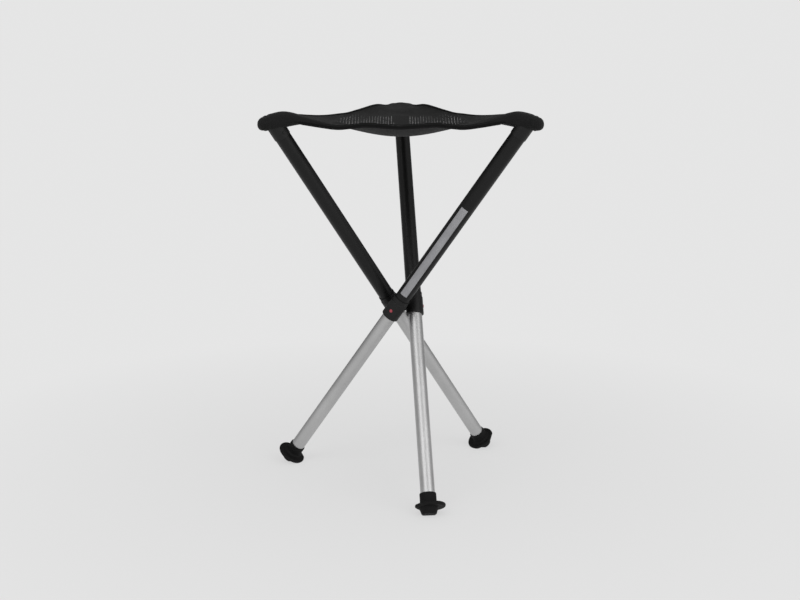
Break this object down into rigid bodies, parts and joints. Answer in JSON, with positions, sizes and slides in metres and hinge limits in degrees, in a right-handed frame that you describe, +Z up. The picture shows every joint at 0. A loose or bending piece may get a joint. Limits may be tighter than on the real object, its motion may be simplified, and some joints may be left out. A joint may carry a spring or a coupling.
{
  "type": "telescopic tripod stool",
  "caption": "Folding tripod stool with telescopic crossed legs on a central pivot hub and a sagging mesh cloth seat in black and silver.",
  "frame": {"origin": "on the floor, on the stool's upright centre line through the pivot hub", "axes": "+Z up; +Y from the camera side to the back corner of the seat; +X to the right"},
  "size_m": [0.4056, 0.4303, 0.5715],
  "materials": {
    "black_anodised": "satin black anodised aluminium tube",
    "satin_aluminium": "satin anodised aluminium tube",
    "black_plastic": "satin moulded nylon",
    "white_nylon": "natural nylon",
    "black_rubber": "matt moulded rubber",
    "red_plastic": "moulded red plastic",
    "spring_steel": "bright spring steel",
    "seat_cloth": "woven polyester",
    "seat_net": "open polyester mesh",
    "label_foil": "bare silver-grey foil"
  },
  "bodies": {
    "hub": {"hub_spider": "black_plastic", "thrust_washers": "white_nylon", "pivot_screws": "spring_steel", "seat_mesh": "seat_net", "seat_hem_ab": "seat_cloth", "seat_hem_bc": "seat_cloth", "seat_hem_ca": "seat_cloth", "seat_pocket_a": "seat_cloth", "seat_pocket_b": "seat_cloth", "seat_pocket_c": "seat_cloth"},
    "upper_leg_a": {"outer_tube_a": "black_anodised", "joint_collar_a": "black_plastic", "collar_pins_a": "black_plastic", "corner_cap_a": "black_plastic", "cap_rivet_a": "black_anodised", "label_strip": "label_foil"},
    "lower_leg_a": {"inner_tube_a": "satin_aluminium", "guide_bush_a": "white_nylon", "snap_clip_a": "spring_steel", "foot_plug_a": "black_plastic", "foot_a": "black_rubber"},
    "button_a": {"lock_button_a": "red_plastic"},
    "upper_leg_b": {"outer_tube_b": "black_anodised", "joint_collar_b": "black_plastic", "collar_pins_b": "black_plastic", "corner_cap_b": "black_plastic", "cap_rivet_b": "black_anodised"},
    "lower_leg_b": {"inner_tube_b": "satin_aluminium", "guide_bush_b": "white_nylon", "snap_clip_b": "spring_steel", "foot_plug_b": "black_plastic", "foot_b": "black_rubber"},
    "button_b": {"lock_button_b": "red_plastic"},
    "upper_leg_c": {"outer_tube_c": "black_anodised", "joint_collar_c": "black_plastic", "collar_pins_c": "black_plastic", "corner_cap_c": "black_plastic", "cap_rivet_c": "black_anodised"},
    "lower_leg_c": {"inner_tube_c": "satin_aluminium", "guide_bush_c": "white_nylon", "snap_clip_c": "spring_steel", "foot_plug_c": "black_plastic", "foot_c": "black_rubber"},
    "button_c": {"lock_button_c": "red_plastic"}
  },
  "joints": [
    {"name": "fold_a", "type": "hinge", "parent": "hub", "child": "upper_leg_a", "pos_m": [0, 0, 0.2687], "axis": [-0.4084, -0.9128, 0], "range_deg": [0, 35.64], "deforming": ["seat_mesh", "seat_hem_ab", "seat_hem_bc", "seat_hem_ca", "seat_pocket_a", "seat_pocket_b", "seat_pocket_c"]},
    {"name": "fold_b", "type": "hinge", "parent": "hub", "child": "upper_leg_b", "pos_m": [0, 0, 0.2687], "axis": [-0.5863, 0.8101, 0], "range_deg": [0, 35.64]},
    {"name": "fold_c", "type": "hinge", "parent": "hub", "child": "upper_leg_c", "pos_m": [0, 0, 0.2687], "axis": [0.9947, 0.1027, 0], "range_deg": [0, 35.64]},
    {"name": "leg_slide_a", "type": "slide", "parent": "upper_leg_a", "child": "lower_leg_a", "axis": [0.5326, -0.2383, 0.8121], "range_m": [0, 0.279], "deforming": ["snap_clip_a"]},
    {"name": "button_press_a", "type": "slide", "parent": "upper_leg_a", "child": "button_a", "axis": [0.4084, 0.9128, 0], "range_m": [0, 0.0008], "stiffness_N_per_m": 2000, "springref_m": -0.0015, "deforming": ["snap_clip_a"]},
    {"name": "leg_slide_b", "type": "slide", "parent": "upper_leg_b", "child": "lower_leg_b", "axis": [-0.4726, -0.3421, 0.8121], "range_m": [0, 0.279], "deforming": ["snap_clip_b"]},
    {"name": "button_press_b", "type": "slide", "parent": "upper_leg_b", "child": "button_b", "axis": [0.5863, -0.8101, 0], "range_m": [0, 0.0008], "stiffness_N_per_m": 2000, "springref_m": -0.0015, "deforming": ["snap_clip_b"]},
    {"name": "leg_slide_c", "type": "slide", "parent": "upper_leg_c", "child": "lower_leg_c", "axis": [-0.0599, 0.5804, 0.8121], "range_m": [0, 0.279], "deforming": ["snap_clip_c"]},
    {"name": "button_press_c", "type": "slide", "parent": "upper_leg_c", "child": "button_c", "axis": [-0.9947, -0.1027, 0], "range_m": [0, 0.0008], "stiffness_N_per_m": 2000, "springref_m": -0.0015, "deforming": ["snap_clip_c"]}
  ],
  "couplings": [
    {"joint": "fold_b", "follows": "fold_a", "ratio": 1},
    {"joint": "fold_c", "follows": "fold_a", "ratio": 1}
  ]
}
